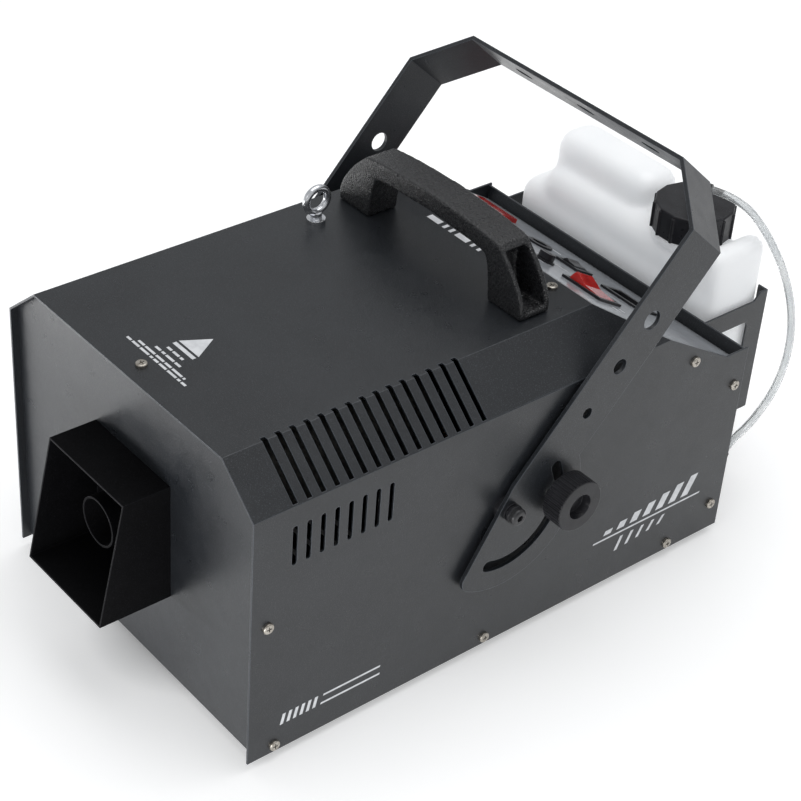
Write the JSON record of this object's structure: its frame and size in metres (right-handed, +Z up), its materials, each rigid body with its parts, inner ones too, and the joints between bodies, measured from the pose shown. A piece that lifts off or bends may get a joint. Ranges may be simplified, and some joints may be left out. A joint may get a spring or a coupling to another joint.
{
  "type": "fog machine",
  "caption": "Fog machine: folded black housing, square outlet hood, tilting hanging yoke with lock knobs, strap handle, sloping controls, fluid tank in a rear tray.",
  "frame": {"origin": "middle of the bounding box (hose left out) at floor level, under the feet", "axes": "+X to the machine's right seen from behind the hood looking back, +Y from the hood to the tank, +Z up"},
  "size_m": [0.3486, 0.57, 0.3372],
  "materials": {
    "black_powder": "fine-textured matt powder coat",
    "inner_steel": "zinc-plated",
    "nickel": "dull nickel",
    "zinc": "bright zinc",
    "black_oxide": "blackened",
    "panel_grey": "glossy light grey",
    "black_plastic": "fine-grained",
    "handle_plastic": "coarse-grained",
    "red_key": "translucent red",
    "red_window": "red filter",
    "milky": "translucent blow-moulded",
    "clear_hose": "clear soft plastic",
    "cast_alu": "as cast",
    "fibre": "woven glass fibre",
    "brass": "turned",
    "copper": "drawn tube",
    "rubber": "moulded",
    "board_green": "printed board",
    "white_plastic": "moulded"
  },
  "bodies": {
    "housing": {"cover_shell": "black_powder", "chassis_base": "black_powder", "front_panel": "black_powder", "rear_panel": "black_powder", "control_panel": "panel_grey", "outlet_hood": "black_powder", "nozzle_shroud": "black_powder", "fog_nozzle": "brass", "heater_block": "cast_alu", "heater_jacket": "fibre", "heater_terminals": "white_plastic", "pump_coil": "black_oxide", "pump_barrel": "white_plastic", "pump_spring": "inner_steel", "inner_brackets": "inner_steel", "pump_bushes": "rubber", "circuit_boards": "board_green", "board_posts": "brass", "transformer": "black_oxide", "display_window": "red_window", "rocker_bezels": "black_plastic", "signal_sockets": "black_plastic", "signal_contacts": "black_plastic", "power_inlet": "black_plastic", "fuse_holder": "black_plastic", "carry_handle": "handle_plastic", "handle_bolts": "zinc", "eye_bolt": "zinc", "panel_screws": "nickel", "rubber_feet": "rubber", "pivot_spacers": "black_plastic", "pivot_collars": "black_plastic", "pivot_bolts": "black_oxide", "knob_washers": "inner_steel", "hex_nuts": "inner_steel", "tank_tray": "black_powder", "tray_rivets": "inner_steel", "fluid_tank": "milky", "cap_gasket": "rubber", "cap_elbow": "black_plastic", "dip_tube": "white_plastic", "filter_weight": "brass", "hose_elbow": "black_plastic", "fluid_hose": "clear_hose", "pressure_line": "copper", "suction_line": "clear_hose"},
    "yoke": {"yoke_bracket": "black_powder"},
    "knob_right": {"lock_knob_right": "black_plastic", "knob_stud_right": "inner_steel"},
    "knob_left": {"lock_knob_left": "black_plastic", "knob_stud_left": "inner_steel"},
    "power_switch": {"power_rocker": "red_key"},
    "fog_switch": {"fog_rocker": "black_plastic"},
    "button_1": {"menu_button_1": "black_plastic"},
    "button_2": {"menu_button_2": "black_plastic"},
    "button_3": {"menu_button_3": "black_plastic"},
    "button_4": {"menu_button_4": "black_plastic"},
    "fuse_drawer": {"fuse_cap": "black_plastic"},
    "tank_lid": {"tank_cap": "black_plastic"},
    "plunger": {"pump_plunger": "inner_steel"}
  },
  "joints": [
    {"name": "yoke_tilt", "type": "hinge", "parent": "housing", "child": "yoke", "pos_m": [0, -0.0217, 0.1317], "axis": [1, 0, 0], "range_deg": [-15, 105]},
    {"name": "right_knob_turn", "type": "hinge", "parent": "housing", "child": "knob_right", "pos_m": [0.165, 0.02374, 0.12932], "axis": [1, 0, 0], "range_deg": [0, 720]},
    {"name": "left_knob_turn", "type": "hinge", "parent": "housing", "child": "knob_left", "pos_m": [-0.165, 0.02374, 0.12932], "axis": [-1, 0, 0], "range_deg": [0, 720]},
    {"name": "power_rocker_tip", "type": "hinge", "parent": "housing", "child": "power_switch", "pos_m": [0.07, 0.11684, 0.21416], "axis": [0, -0.8572, 0.515], "range_deg": [0, 16]},
    {"name": "fog_rocker_tip", "type": "hinge", "parent": "housing", "child": "fog_switch", "pos_m": [0.009, 0.1597, 0.18841], "axis": [0, -0.8572, 0.515], "range_deg": [0, 16]},
    {"name": "fuse_cap_turn", "type": "hinge", "parent": "housing", "child": "fuse_drawer", "pos_m": [0.019, 0.12027, 0.21793], "axis": [0, 0.515, 0.8572], "range_deg": [0, 90]},
    {"name": "tank_cap_turn", "type": "hinge", "parent": "housing", "child": "tank_lid", "pos_m": [0.0415, 0.252, 0.2225], "axis": [0, 0, 1], "range_deg": [0, 540]},
    {"name": "plunger_stroke", "type": "slide", "parent": "housing", "child": "plunger", "axis": [0, 1, 0], "range_m": [0, 0.004], "stiffness_N_per_m": 400, "springref_m": -0.002, "deforming": ["pump_spring"]},
    {"name": "menu_button_1_press", "type": "slide", "parent": "housing", "child": "button_1", "axis": [0, -0.515, -0.8572], "range_m": [0, 0.001], "stiffness_N_per_m": 600, "springref_m": -0.0005},
    {"name": "menu_button_2_press", "type": "slide", "parent": "housing", "child": "button_2", "axis": [0, -0.515, -0.8572], "range_m": [0, 0.001], "stiffness_N_per_m": 600, "springref_m": -0.0005},
    {"name": "menu_button_3_press", "type": "slide", "parent": "housing", "child": "button_3", "axis": [0, -0.515, -0.8572], "range_m": [0, 0.001], "stiffness_N_per_m": 600, "springref_m": -0.0005},
    {"name": "menu_button_4_press", "type": "slide", "parent": "housing", "child": "button_4", "axis": [0, -0.515, -0.8572], "range_m": [0, 0.001], "stiffness_N_per_m": 600, "springref_m": -0.0005}
  ]
}
